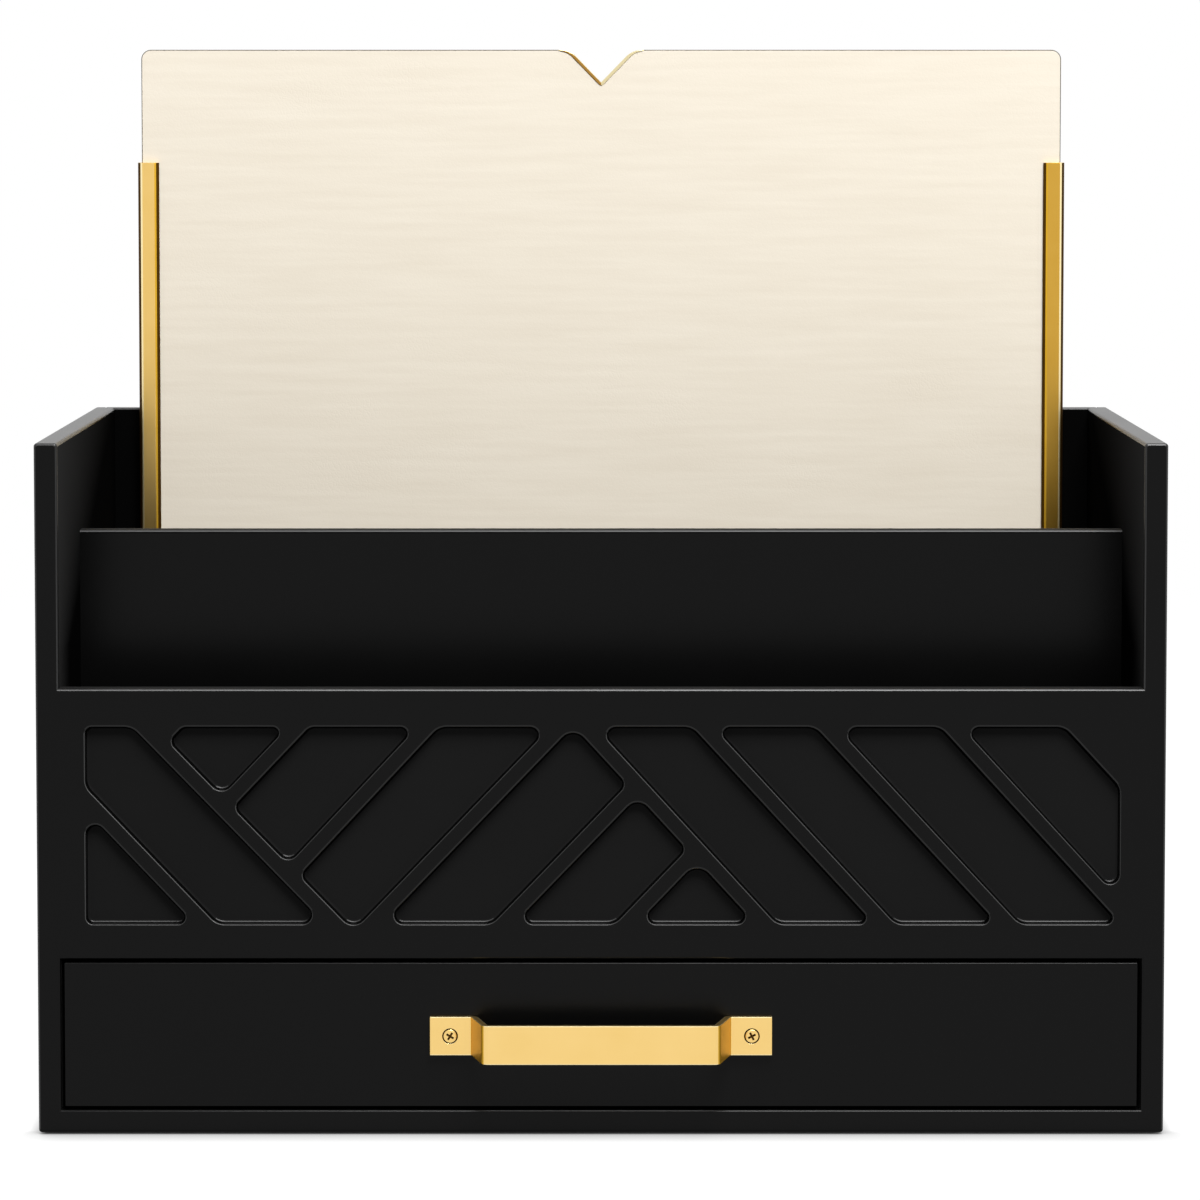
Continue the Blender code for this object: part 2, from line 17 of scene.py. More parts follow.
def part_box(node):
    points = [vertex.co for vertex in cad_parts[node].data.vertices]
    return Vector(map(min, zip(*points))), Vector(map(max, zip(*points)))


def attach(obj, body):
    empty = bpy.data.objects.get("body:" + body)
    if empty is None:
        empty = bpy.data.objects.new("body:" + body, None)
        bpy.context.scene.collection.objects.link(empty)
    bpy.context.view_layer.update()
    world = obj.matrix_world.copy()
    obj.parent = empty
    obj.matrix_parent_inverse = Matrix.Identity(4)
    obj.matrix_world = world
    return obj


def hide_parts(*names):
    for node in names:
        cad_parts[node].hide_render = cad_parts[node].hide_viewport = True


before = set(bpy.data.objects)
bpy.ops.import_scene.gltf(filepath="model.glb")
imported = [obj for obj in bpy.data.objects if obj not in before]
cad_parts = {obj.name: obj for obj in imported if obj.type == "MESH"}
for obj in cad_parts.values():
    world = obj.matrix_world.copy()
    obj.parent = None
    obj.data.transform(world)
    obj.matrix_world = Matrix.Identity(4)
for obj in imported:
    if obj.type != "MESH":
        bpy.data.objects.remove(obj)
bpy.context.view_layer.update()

# %% [markdown]
# ## Sizes
# All lengths are metres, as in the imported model. The levels and faces that several
# pieces share are read from its boxes, so nothing has to be fitted by eye. Only what the
# solids leave out is set here, such as how soft an edge is. Two places count as one when
# they are less than a hair apart, and a face counts as flat when its unit normal reaches
# 0.98 along an axis.

# %% Read the shared levels and faces
side_low, side_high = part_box("right_side_panel")
panel_low, panel_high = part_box("front_panel")
base_low, base_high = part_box("base_panel")
shelf_low, shelf_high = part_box("shelf_panel")
divider_low, divider_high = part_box("divider_panel")
back_low, back_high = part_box("back_panel")
front, back = side_low.y, side_high.y
bottom, top = side_low.z, side_high.z
outer = side_high.x
joint_gap = 0.0003
edge_round = 0.001
hair = 0.00001
flat = 0.98
board_thickness = base_high.z - base_low.z
inner = outer - board_thickness
print(f"cabinet {2 * outer * 1000:.1f} x {(back - front) * 1000:.1f} x {top * 1000:.1f} mm")

# %% [markdown]
# ## Shaping helpers
# A few small tools do most of the modelling. The first rounds the corners of a flat
# outline, the way a router bit does. The second turns an outline into a solid. Others
# find edges and round them with the Bevel operator. The last one hangs the finished mesh
# on one of the model's bodies and says which solids it stands for.

# %% Round the corners of an outline
def rounded_outline(corners, radii, steps=8):
    """The closed outline with an arc of its own radius at each corner."""
    outline = []
    for index, corner in enumerate(corners):
        radius = radii[index]
        if radius == 0:
            outline.append(corner)
            continue
        before = (corners[index - 1] - corner).normalized()
        after = (corners[(index + 1) % len(corners)] - corner).normalized()
        half_angle = before.angle(after) / 2
        centre = corner + (before + after).normalized() * radius / math.sin(half_angle)
        first = corner + before * radius / math.tan(half_angle) - centre
        last = corner + after * radius / math.tan(half_angle) - centre
        sweep = math.atan2(first.cross(last), first.dot(last))
        outline += [centre + Matrix.Rotation(sweep * step / steps, 2) @ first
                    for step in range(steps + 1)]
    return outline


# %% Grow an outline into a solid
def flat_face(bm, outline, to_space):
    """One face from a flat outline, each point placed in space by to_space."""
    return bm.faces.new([bm.verts.new(to_space(point)) for point in outline])


def grown_solid(outline, to_space, travel):
    """A closed solid: a flat outline moved along a straight line."""
    bm = bmesh.new()
    cap = flat_face(bm, outline, to_space)
    moved = bmesh.ops.extrude_face_region(bm, geom=[cap])["geom"]
    bmesh.ops.translate(bm, verts=[v for v in moved if isinstance(v, bmesh.types.BMVert)],
                        vec=travel)
    bmesh.ops.recalc_face_normals(bm, faces=bm.faces[:])
    return bm


# %% Find and round edges
def is_corner(edge):
    """True for an edge where two faces meet at more than 60 degrees."""
    return edge.calc_face_angle(0) > math.radians(60)


def is_level(edge, axis):
    """True for an edge whose ends are level along an axis."""
    return abs(edge.verts[0].co[axis] - edge.verts[1].co[axis]) < hair


def soften(bm, edges, radius, segments=4):
    bmesh.ops.bevel(bm, geom=edges, offset=radius, offset_type="OFFSET", segments=segments,
                    profile=0.5, affect="EDGES", clamp_overlap=True, material=-1)


# %% Hang a finished mesh on a body
def as_object(bm, name):
    """An object of the scene made from a bmesh, which is freed."""
    mesh = bpy.data.meshes.new(name)
    bm.to_mesh(mesh)
    bm.free()
    made = bpy.data.objects.new(name, mesh)
    bpy.context.collection.objects.link(made)
    return made


def finish_piece(name, bm, body, materials, replaced, smooth_angle=40):
    """Make the object, give it its finish, and let it stand for the solids named."""
    piece = as_object(bm, name)
    mesh = piece.data
    for material in materials:
        mesh.materials.append(material)
    mesh.shade_smooth()
    mesh.set_sharp_from_angle(angle=math.radians(smooth_angle))
    weighted = piece.modifiers.new("flat faces stay flat", "WEIGHTED_NORMAL")
    weighted.keep_sharp = True
    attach(piece, body)
    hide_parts(*replaced)
    print(f"{name}: {len(mesh.polygons)} faces")


# %% [markdown]
# ## Colours and shader nodes
# Colours are written as sRGB hex values, the way a paint chart gives them, and turned to
# the linear values that the renderer works in. One function adds any shader node, so
# each material below reads as a short list of what it is made of. No real finish has an
# even colour, so most of them drift a little between two close tones.

# %% Colour and node helpers
def linear(hex_colour):
    """An sRGB hex colour as linear red, green, blue and alpha."""
    channels = [int(hex_colour[place:place + 2], 16) / 255 for place in (1, 3, 5)]
    return (*((c / 12.92 if c <= 0.04045 else ((c + 0.055) / 1.055) ** 2.4)
              for c in channels), 1.0)


def set_inputs(tree, node, inputs):
    """Set or link a node's inputs. A node given as a value links its first output."""
    for name, value in inputs.items():
        if isinstance(value, bpy.types.Node):
            value = value.outputs[0]
        if isinstance(value, bpy.types.NodeSocket):
            tree.links.new(value, node.inputs[name])
        else:
            node.inputs[name].default_value = value


def add_node(tree, kind, inputs=None, **settings):
    """Add a node, set its properties, and set or link its inputs."""
    node = tree.nodes.new(kind)
    for name, value in settings.items():
        setattr(node, name, value)
    set_inputs(tree, node, inputs or {})
    return node


def start_material(name, **shader_settings):
    """A material with its shader's own sockets set, its node tree and its coordinates."""
    material = bpy.data.materials.new(name)
    material.use_nodes = True
    tree = material.node_tree
    shader = tree.nodes["Principled BSDF"]
    for socket, value in shader_settings.items():
        shader.inputs[socket.replace("_", " ")].default_value = value
    coordinates = add_node(tree, "ShaderNodeTexCoord").outputs["Object"]
    return material, tree, shader, coordinates


def drifting_colour(tree, shader, place, size, detail, dark, light):
    """Let the colour drift between two tones, in patches of about the size given."""
    drift = add_node(tree, "ShaderNodeTexNoise",
                     {"Vector": place, "Scale": 1 / size, "Detail": detail})
    tone = add_node(tree, "ShaderNodeMix", {0: drift, 6: linear(dark), 7: linear(light)},
                    data_type="RGBA")
    set_inputs(tree, shader, {"Base Color": tone.outputs[2]})
    return drift


# %% [markdown]
# ## Black lacquer
# The boards are medium density fibreboard, sanded, primed and sprayed with a satin black
# lacquer. Sprayed lacquer dries with a faint ripple called orange peel, about a
# millimetre across, and its sheen varies a little from place to place. The colour is a
# near black. One noise texture varies it softly, and a finer one gives the ripple.
#
# The same lacquer shows many sheens. Rounded edges and the tops of the sides shine more,
# partly from wear by hands and dusters and partly as a painted highlight that makes the
# lamps' lines on the rims stronger. The narrow ledges between them and the inside of the
# drawer stay duller. In the routed pockets the floors have a thin sheen, and the steep
# walls are a matt near black, which is painted shade. The rims are soft where they face
# up. Where they slant to the right as well they wear a far shinier lacquer, a painted
# highlight that stands in for light from the right. Where they hang over a pocket they
# mirror the white floor as a faint line.
#
# Deep in the bays the coat is a matt near black, which is painted shade. On the inner
# sides a paler colour fades from the front inwards, as far as the back board near the top
# and only a little way lower down: painted light, the light from the front falling off
# into the bays. A fine noise makes its border uneven.

# %% Black lacquer in eight sheens
def make_lacquer(name, shine, smooth, dull, peel_strength, dark="#161616", light="#191919"):
    material, tree, shader, place = start_material(name, Specular_IOR_Level=shine)
    cloud = drifting_colour(tree, shader, place, 0.045, 3.0, dark, light)
    sheen = add_node(tree, "ShaderNodeMapRange",
                     {"Value": cloud, "To Min": smooth, "To Max": dull})
    peel = add_node(tree, "ShaderNodeTexNoise",
                    {"Vector": place, "Scale": 1 / 0.0011, "Detail": 2.0})
    ripple = add_node(tree, "ShaderNodeBump",
                      {"Height": peel, "Strength": peel_strength, "Distance": 0.00002})
    set_inputs(tree, shader, {"Roughness": sheen, "Normal": ripple})
    return material


lacquer = make_lacquer("satin_black_lacquer", 0.105, 0.22, 0.28, 0.12, "#060606", "#080808")
# Partly wear, partly a painted highlight: a shinier, paler copy for rims that face up.
rubbed_highlit_lacquer = make_lacquer("rubbed_black_lacquer_painted_highlight", 0.38, 0.32, 0.38, 0.03)
dull_lacquer = make_lacquer("dull_black_lacquer", 0.03, 0.5, 0.6, 0.12)
pocket_lacquer = make_lacquer("pocket_black_lacquer", 0.03, 0.31, 0.38, 0.12)
soft_lacquer = make_lacquer("soft_black_lacquer", 0.36, 0.44, 0.5, 0.03)
# Painted shade: a matt near black for the pockets' steep walls and the deep bays.
matt_painted_shade_lacquer = make_lacquer("matt_black_lacquer_painted_shade", 0.0, 0.7, 0.8, 0.12, "#050505", "#080808")
# Painted highlight: a far shinier copy for the pocket rims that slant to the right.
right_highlight_lacquer = make_lacquer("black_lacquer_painted_highlight", 0.75, 0.36, 0.42, 0.03)
hanging_lacquer = make_lacquer("hanging_black_lacquer", 0.3, 0.36, 0.42, 0.03, "#060606",
                               "#080808")


# %% The painted light falloff inside the bays
falloff_wander = 0.01
falloff_foot = 0.01
falloff_reach = 0.036


# Painted light: paler at the front of the inner sides, fading to near black further in.
def make_falloff_lacquer():
    material, tree, shader, place = start_material(
        "black_lacquer_painted_falloff", Roughness=0.8, Specular_IOR_Level=0.0)
    depth = add_node(tree, "ShaderNodeSeparateXYZ", {"Vector": place})
    specks = add_node(tree, "ShaderNodeTexNoise",
                      {"Vector": place, "Scale": 1 / 0.0015, "Detail": 3.0})
    wander = add_node(tree, "ShaderNodeMath",
                      {0: specks, 1: falloff_wander, 2: depth.outputs["Y"]},
                      operation="MULTIPLY_ADD")
    far_end = add_node(tree, "ShaderNodeMapRange",
                       {"Value": depth.outputs["Z"], "From Min": panel_high.z + falloff_foot,
                        "From Max": top, "To Min": front + falloff_reach,
                        "To Max": back_low.y})
    reach = add_node(tree, "ShaderNodeMapRange",
                     {"Value": wander, "From Min": far_end, "From Max": front})
    fade = add_node(tree, "ShaderNodeMath", {0: reach, 1: 1.2}, operation="POWER")
    tone = add_node(tree, "ShaderNodeMix",
                    {0: fade, 6: linear("#060606"), 7: linear("#2e2e2e")},
                    data_type="RGBA")
    set_inputs(tree, shader, {"Base Color": tone.outputs[2]})
    return material


painted_falloff_lacquer = make_falloff_lacquer()

# %% [markdown]
# ## Satin brass
# The handle, the channels and the trim are brass with a satin finish: fine scratches
# from a belt lie along the length of each piece, under a clear coat that keeps the gold
# from tarnishing. A noise texture squeezed across the length draws those scratches. They
# are about 0.03 mm apart on the real metal and 0.25 mm here, so that they show at all.
#
# The belt reaches the flat fronts only. The rounded corners of the bends are a pale brass,
# a painted highlight. Legs, lips and outer sides are duller, and darker in colour, which
# is painted shade. The rolled lips, the outer bends and the hollows of the screw holes
# are a dark brown, painted shade too. The right channel is given a deeper gold than the
# left. On the trim of the board's notch the left arm's front is a darker brass, its lower
# edge a dark brown of painted shade and its upper edge a pale painted highlight, and the
# right arm is pale all over.

# %% Satin brass
def make_brass(name, colour, pale, along, depth, smooth=0.26, rough=0.34):
    material, tree, shader, place = start_material(name, Metallic=1.0, Roughness=0.3)
    stretch = [1.0, 1.0, 1.0]
    stretch[along] = 0.02
    squeezed = add_node(tree, "ShaderNodeMapping", {"Vector": place, "Scale": stretch})
    scratch = add_node(tree, "ShaderNodeTexNoise",
                       {"Vector": squeezed, "Scale": 1 / 0.00025, "Detail": 3.0})
    drifting_colour(tree, shader, place, 0.012, 2.0, colour, pale)
    gloss = add_node(tree, "ShaderNodeMapRange",
                     {"Value": scratch, "To Min": smooth, "To Max": rough})
    lines = add_node(tree, "ShaderNodeBump",
                     {"Height": scratch, "Strength": depth, "Distance": 0.00001})
    set_inputs(tree, shader, {"Roughness": gloss, "Normal": lines})
    return material


handle_brass = make_brass("satin_brass_handle", "#edc87a", "#f3d086", 0, 0.04)
# The right channel is given a deeper gold than the left.
left_brass = make_brass("satin_brass_left_channel", "#e9c16b", "#f1cb7e", 2, 0.04)
right_brass = make_brass("satin_brass_right_channel", "#c99a39", "#d3a74a", 2, 0.04)
# Painted highlight: a pale brass for the rounded corners of the bends.
painted_highlight_brass = make_brass("brass_painted_highlight", "#fbe7ae", "#fdedbd", 2, 0.0, 0.36, 0.38)
# Duller brass whose darker colour is painted shade, for legs, sides and ends.
dull_shaded_brass = make_brass("unbuffed_brass_painted_shade", "#cf9f2a", "#dbac36", 2, 0.03, 0.4, 0.46)
# Painted shade: a dark brown for hollows, rolled lips and outer bends.
painted_shade_brass = make_brass("brass_painted_shade", "#3a2708", "#54390f", 2, 0.03, 0.5, 0.55)
# A darker brass for the front of the trim's left arm, and a pale brass for its upper edge,
# a painted highlight, and for the whole right arm.
darker_left_trim_brass = make_brass("darker_left_trim_brass", "#a67c38", "#b38844", 0, 0.03)
pale_trim_brass = make_brass("pale_notch_trim_brass", "#ddcea0", "#e6d8ac", 0, 0.03)

# %% [markdown]
# ## Cream leatherette
# The tall board is covered with a coated cloth embossed like fine leather. The grain is
# a net of shallow creases around cells of about a millimetre, with a finer grain inside
# them. A Voronoi texture gives the cells and a noise texture the finer grain, and both
# feed the bump. The coat was spread across the cloth by a blade, which left long faint
# streaks in the colour. The cut edges are a dark grey-brown, which draws a thin dark
# outline.

# %% Cream leatherette and its dark edge
def make_leatherette():
    material, tree, shader, place = start_material(
        "cream_leatherette", Roughness=0.55, Specular_IOR_Level=0.35)
    bend = add_node(tree, "ShaderNodeTexNoise",
                    {"Vector": place, "Scale": 1 / 0.004, "Detail": 2.0})
    shift = add_node(tree, "ShaderNodeVectorMath",
                     {0: bend.outputs["Color"], 1: (0.0008, 0.0008, 0.0008)},
                     operation="MULTIPLY")
    bent = add_node(tree, "ShaderNodeVectorMath", {0: place, 1: shift}, operation="ADD")
    cells = add_node(tree, "ShaderNodeTexVoronoi", {"Vector": bent, "Scale": 1 / 0.0013},
                     feature="DISTANCE_TO_EDGE")
    crease = add_node(tree, "ShaderNodeMapRange", {"Value": cells, "From Max": 0.18})
    fine = add_node(tree, "ShaderNodeTexNoise",
                    {"Vector": place, "Scale": 1 / 0.0006, "Detail": 4.0})
    height = add_node(tree, "ShaderNodeMath", {0: crease, 1: fine}, operation="ADD")
    squeezed = add_node(tree, "ShaderNodeMapping",
                        {"Vector": bent, "Scale": (0.06, 1.0, 1.0)})
    drifting_colour(tree, shader, squeezed, 0.0025, 5.0, "#d7cdbc", "#e4dccd")
    grain = add_node(tree, "ShaderNodeBump",
                     {"Height": height, "Strength": 0.2, "Distance": 0.00004})
    set_inputs(tree, shader, {"Normal": grain})
    return material


def make_edge_tone():
    material, tree, shader, place = start_material("dark_board_edge", Roughness=0.7,
                                                   Specular_IOR_Level=0.0)
    drifting_colour(tree, shader, place, 0.002, 3.0, "#4a463f", "#57524a")
    return material


leatherette = make_leatherette()
edge_tone = make_edge_tone()

# %% [markdown]
# ## Black rubber
# The pads under the base are punched from matt black rubber. Fine noise gives the dull,
# slightly rough face that grips a desk.

# %% Black rubber
def make_rubber():
    material, tree, shader, place = start_material(
        "matt_black_rubber", Roughness=0.85, Specular_IOR_Level=0.3)
    grit = drifting_colour(tree, shader, place, 0.0007, 3.0, "#131313", "#1f1f1f")
    rough = add_node(tree, "ShaderNodeBump",
                     {"Height": grit, "Strength": 0.3, "Distance": 0.00005})
    set_inputs(tree, shader, {"Normal": rough})
    return material


rubber = make_rubber()

# %% [markdown]
# ## Joining boards into one skin
# On the real cabinet the lacquer runs over every joint, so the front shows no line where
# a board ends. One way would be a Boolean union. Here the boards are cut along all their
# faces into bricks, the bricks are welded, and every wall between two bricks is deleted.
# What is left is one closed skin with clean, square faces. Flat neighbours are merged,
# apart from a line down the middle, which keeps a face with an opening in two halves.

# %% Weld boards into one skin
def welded_boards(boards, extra_cuts=((), (), ())):
    """One closed skin around boards, each given by its lowest and highest corner."""
    cuts = [sorted({round(corner[axis], 6) for board in boards for corner in board}
                   | set(extra_cuts[axis])) for axis in range(3)]

    def inside(point):
        return any(all(low[axis] < point[axis] < high[axis] for axis in range(3))
                   for low, high in boards)

    bm = bmesh.new()
    for spans in itertools.product(*(zip(cut, cut[1:]) for cut in cuts)):
        middle = Vector([sum(span) / 2 for span in spans])
        if inside(middle):
            size = [span[1] - span[0] for span in spans]
            bmesh.ops.create_cube(bm, size=1.0, matrix=Matrix.Translation(middle)
                                  @ Matrix.Diagonal((*size, 1.0)))
    bmesh.ops.remove_doubles(bm, verts=bm.verts[:], dist=hair / 10)
    hidden = [face for face in bm.faces
              if all(inside(face.calc_center_median() + face.normal * side)
                     for side in (-hair, hair))]
    bmesh.ops.delete(bm, geom=hidden, context="FACES")
    bmesh.ops.recalc_face_normals(bm, faces=bm.faces[:])
    return bm


def merge_flat_faces(bm):
    """Dissolve the edges inside flat faces, apart from those on the middle line."""
    edges = [edge for edge in bm.edges if max(abs(v.co.x) for v in edge.verts) > hair]
    bmesh.ops.dissolve_limit(bm, angle_limit=math.radians(1), verts=bm.verts[:],
                             edges=edges, use_dissolve_boundaries=False)


def outer_edges(bm):
    """The edges where a skin turns outwards by a square corner."""
    return [edge for edge in bm.edges if edge.is_convex and is_corner(edge)]


def on_side(side, near, far):
    """The lower and the higher x of what lies from near to far on one side."""
    return sorted((side * near, side * far))


# %% [markdown]
# ## The routed pattern
# The front board carries twelve shallow pockets between diagonal ribs. Each pocket is
# bounded by ribs or by the straight edges of the field, so a table of lines is enough:
# a rib is given by where its centre line crosses the field's top and bottom edges. Each
# wall of a pocket comes with the radius, in millimetres, of the corner that leads into
# it. They differ, tight in the sharp corners and wide in the blunt ones. The router was
# set half a millimetre to the right and a little low, which is kept.

# %% The lines of the pattern
side_margin = 0.01425
end_margin = 0.0111
field_half_width = outer - side_margin
field_half_height = (panel_high.z - panel_low.z) / 2 - end_margin
field_centre = (panel_high.z + panel_low.z) / 2
pattern_right = 0.0005
pattern_low = 0.0004
rib_width = 0.005
pocket_depth = 0.0026
rim_round = 0.0007
floor_round = 0.0009
flat_land = 0.0003

rib_shares = {
    "fall_0": (-0.067, 0.114), "fall_1": (0.055, 0.240), "fall_2": (0.482, 0.657),
    "fall_3": (0.596, 0.772), "fall_4": (0.715, 0.892), "fall_5": (0.836, 1.011),
    "fall_6": (0.956, 1.133),
    "rise_0": (0.084, -0.099), "rise_1": (0.207, 0.025), "rise_2": (0.332, 0.153),
    "rise_3": (0.461, 0.277), "rise_4": (0.589, 0.405), "rise_5": (0.707, 0.524),
}
pocket_walls = (
    (("left", 5.5), ("top", 2.0), ("fall_1", 5.5), ("bottom", 2.7), ("fall_0", 5.5)),
    (("left", 2.0), ("fall_0", 2.8), ("bottom", 2.0)),
    (("rise_0", 2.5), ("top", 3.0), ("rise_1", 1.8), ("fall_1", 3.6)),
    (("top", 3.5), ("rise_2", 2.0), ("fall_1", 3.2), ("rise_1", 2.5)),
    (("top", 5.5), ("rise_3", 2.4), ("fall_1", 4.0), ("rise_2", 2.5)),
    (("fall_2", 4.3), ("rise_4", 2.5), ("bottom", 5.5), ("rise_3", 2.6)),
    (("fall_2", 3.9), ("rise_5", 2.5), ("bottom", 5.5), ("rise_4", 2.3)),
    (("fall_2", 4.6), ("bottom", 2.3), ("rise_5", 2.3)),
    (("top", 2.5), ("fall_3", 5.5), ("bottom", 1.8), ("fall_2", 5.5)),
    (("top", 2.0), ("fall_4", 5.5), ("bottom", 1.9), ("fall_3", 5.5)),
    (("top", 2.5), ("fall_5", 5.5), ("bottom", 1.8), ("fall_4", 5.5)),
    (("top", 2.1), ("fall_6", 5.5), ("right", 5.5), ("fall_5", 2.7)),
)


def crossing(line, other):
    """The point where two lines meet, each given as a point and a direction."""
    along = (other[0] - line[0]).cross(other[1]) / line[1].cross(other[1])
    return line[0] + line[1] * along


def pattern_lines():
    """Every line that can bound a pocket, as a point and a direction."""
    across, up = Vector((1, 0)), Vector((0, 1))
    shift, drop = across * pattern_right, up * -pattern_low
    lines = {"left": (shift - across * field_half_width, up),
             "right": (shift + across * field_half_width, up),
             "top": (drop + up * field_half_height, across),
             "bottom": (drop - up * field_half_height, across)}
    for name, (top_share, bottom_share) in rib_shares.items():
        high = Vector(((2 * top_share - 1) * field_half_width, field_half_height))
        low = Vector(((2 * bottom_share - 1) * field_half_width, -field_half_height))
        lines[name] = (shift + high, (low - high).normalized())
    return lines


pattern = pattern_lines()


def pocket_mouth(pocket, grow):
    """A pocket's rounded outline, grown outwards from its walls."""
    bounds = [pattern[side] for side, radius in pocket]
    corners = [crossing(bounds[index - 1], bound) for index, bound in enumerate(bounds)]
    middle = sum(corners, Vector((0, 0))) / len(corners)
    walls = []
    for (side, radius), (point, direction) in zip(pocket, bounds):
        inward = Vector((-direction.y, direction.x))
        if inward.dot(middle - point) < 0:
            inward.negate()
        inset = rib_width / 2 if side in rib_shares else 0
        walls.append((point + inward * (inset - grow), direction))
    corners = [crossing(walls[index - 1], wall) for index, wall in enumerate(walls)]
    return rounded_outline(corners, [radius / 1000 + grow for side, radius in pocket])


# %% [markdown]
# ## Sinking hollows into a flat face
# A pocket's mouth starts as one flat face. Inset Region then narrows it step by step and
# pushes it inwards, which follows the profile of the router bit: a rounded rim, a
# straight wall, a rounded foot and the floor. The flat sheet around the mouths is filled
# in at the end, between the frame's opening and all the mouths at once.

# %% Sink a hollow and fill the sheet around it
def router_profile(depth, rim, foot, land, steps=4):
    """Pairs of inset and drop that follow a rounded rim, a wall and a rounded foot."""
    turns = [math.pi / 2 * step / steps for step in range(steps + 1)]
    places = [(0, 0)]
    places += [(land + rim * math.sin(turn), rim * (1 - math.cos(turn))) for turn in turns]
    places += [(land + rim + foot * (1 - math.cos(turn)),
                depth - foot * (1 - math.sin(turn))) for turn in turns]
    places.append((places[-1][0] + land, depth))
    return [(there[0] - here[0], there[1] - here[1])
            for here, there in zip(places, places[1:])]


def sink(bm, mouth, profile):
    """Push a flat face inwards along a profile of insets and drops."""
    for inset, drop in profile:
        bmesh.ops.inset_region(bm, faces=[mouth], thickness=inset, depth=-drop,
                               use_boundary=True, use_even_offset=True)


def fill_sheet(bm, normal):
    """Fill the flat sheet between all open edges."""
    rims = [edge for edge in bm.edges if edge.is_boundary]
    bmesh.ops.triangle_fill(bm, edges=rims, use_beauty=True, normal=normal)


# %% Open round holes in a flat face
hole_land = 0.0001


def open_holes(bm, places, facing, radius, rim, depth):
    """Take one flat face away, sink round holes at places, and fill the sheet again."""
    level = places[0].y
    sheet = [face for face in bm.faces if face.normal.y * facing > flat
             and abs(face.calc_center_median().y - level) < hair]
    bmesh.ops.delete(bm, geom=sheet, context="FACES_ONLY")
    for place in places:
        ring = bmesh.ops.create_circle(bm, cap_ends=True, segments=48, radius=radius,
                                       matrix=Matrix.Translation(place)
                                       @ Matrix.Rotation(math.pi / 2, 4, "X"))
        hole = ring["verts"][0].link_faces[0]
        if hole.normal.y * facing < 0:
            hole.normal_flip()
        sink(bm, hole, router_profile(depth, rim, rim, hole_land))
    fill_sheet(bm, (0, facing, 0))
    bmesh.ops.recalc_face_normals(bm, faces=bm.faces[:])


# %% [markdown]
# ## Choosing the sheen of each face
# A piece's list of lacquers starts with the satin one, and each face says by its place in
# that list which it wears. The place is chosen by where the face lies and which way it
# turns. The slopes below are parts of its unit normal, so 0.45 is 27 degrees from upright.

# %% Choose the sheen of each face
satin, rubbed_highlit, sheltered, ledge, matt_shade, sunken, soft, right_highlight, hanging = range(9)
lip_depth = 0.0002


def spread_sheens(bm, sheltered_sheen, ledges=()):
    """Give each face its sheen; sheltered_sheen says what flat faces inside wear."""
    for face in bm.faces:
        middle = face.calc_center_median()
        up = face.normal.z
        depth = middle.y - front
        rounded = max(abs(part) for part in face.normal) < flat
        foot = front + rim_round < middle.y < front + pocket_depth
        # Side tops and rims that face up: partly wear, partly a painted highlight.
        if up > flat and middle.z > top - edge_round:
            face.material_index = rubbed_highlit
        if rounded and middle.z > shelf_low.z and up > (0.45 if foot else -0.2):
            on_divider = (divider_low.y < middle.y < divider_high.y
                          and middle.z < divider_high.z)
            face.material_index = soft if on_divider else rubbed_highlit
        if not rounded and sheltered_sheen(middle):
            face.material_index = sheltered_sheen(middle)
        if not rounded and any(abs(middle.z - level) < hair for level in ledges):
            face.material_index = ledge
        if in_field(middle) and lip_depth / 2 < depth < pocket_depth + lip_depth / 2:
            # Steep walls and downward feet of the pockets: painted shade.
            if rounded and (abs(face.normal.y) < 0.75 or up < -0.2 and foot):
                face.material_index = matt_shade
            elif rounded and face.material_index == rubbed_highlit:
                # Rims slanting to the right: a painted highlight.
                slanting = face.normal.x > 0.6 * abs(up)
                face.material_index = right_highlight if slanting and not foot else soft
            else:
                face.material_index = sunken
        if in_field(middle) and hair < depth < lip_depth and up < -0.1:
            face.material_index = hanging


# %% [markdown]
# ## The cabinet
# The sides, base, front board, shelf and divider become one skin. The back board stays a
# solid of its own, because on the real cabinet it is let into a step at the back of the
# sides. Every outer edge is rounded to about a millimetre, and where two rounded edges
# meet in an inner corner the Bevel operator draws the mitre that the real one shows.

# %% Build the cabinet's skin
rebate = back_high.x + joint_gap
shelf_front = panel_high.y
back_face = back_low.y
boards = [
    ((-inner, front, bottom), (inner, back_face, base_high.z)),
    ((-inner, front, panel_low.z), (inner, shelf_front, panel_high.z)),
    ((-inner, front, shelf_low.z), (inner, back_face, shelf_high.z)),
    ((-inner, divider_low.y, shelf_low.z), (inner, divider_high.y, divider_high.z)),
]
for side in (-1, 1):
    for near, rear in ((inner, back_face), (rebate, back)):
        left, right = on_side(side, near, outer)
        boards.append(((left, front, bottom), (right, rear, top)))
mouth_margin = 0.003
field_x = round(field_half_width + mouth_margin, 6)
field_z = [round(field_centre + side * (field_half_height + mouth_margin), 6)
           for side in (-1, 1)]
skin = welded_boards(boards, ((-field_x, 0.0, field_x), (), tuple(field_z)))


def in_field(point):
    """True for a point in the part of the front that holds the pattern."""
    return abs(point.x) < field_x and field_z[0] < point.z < field_z[1]


pattern_sheet = [face for face in skin.faces
                 if abs(face.calc_center_median().y - front) < hair
                 and in_field(face.calc_center_median())]
bmesh.ops.delete(skin, geom=pattern_sheet, context="FACES")
merge_flat_faces(skin)


def seats_the_back(edge):
    """True for the edges of the step that the back board sits in."""
    return (all(v.co.y > back_face - hair and abs(v.co.x) < outer - hair
                for v in edge.verts)
            or all(abs(abs(v.co.x) - rebate) < hair for v in edge.verts))


soften(skin, [edge for edge in outer_edges(skin) if not seats_the_back(edge)], edge_round)


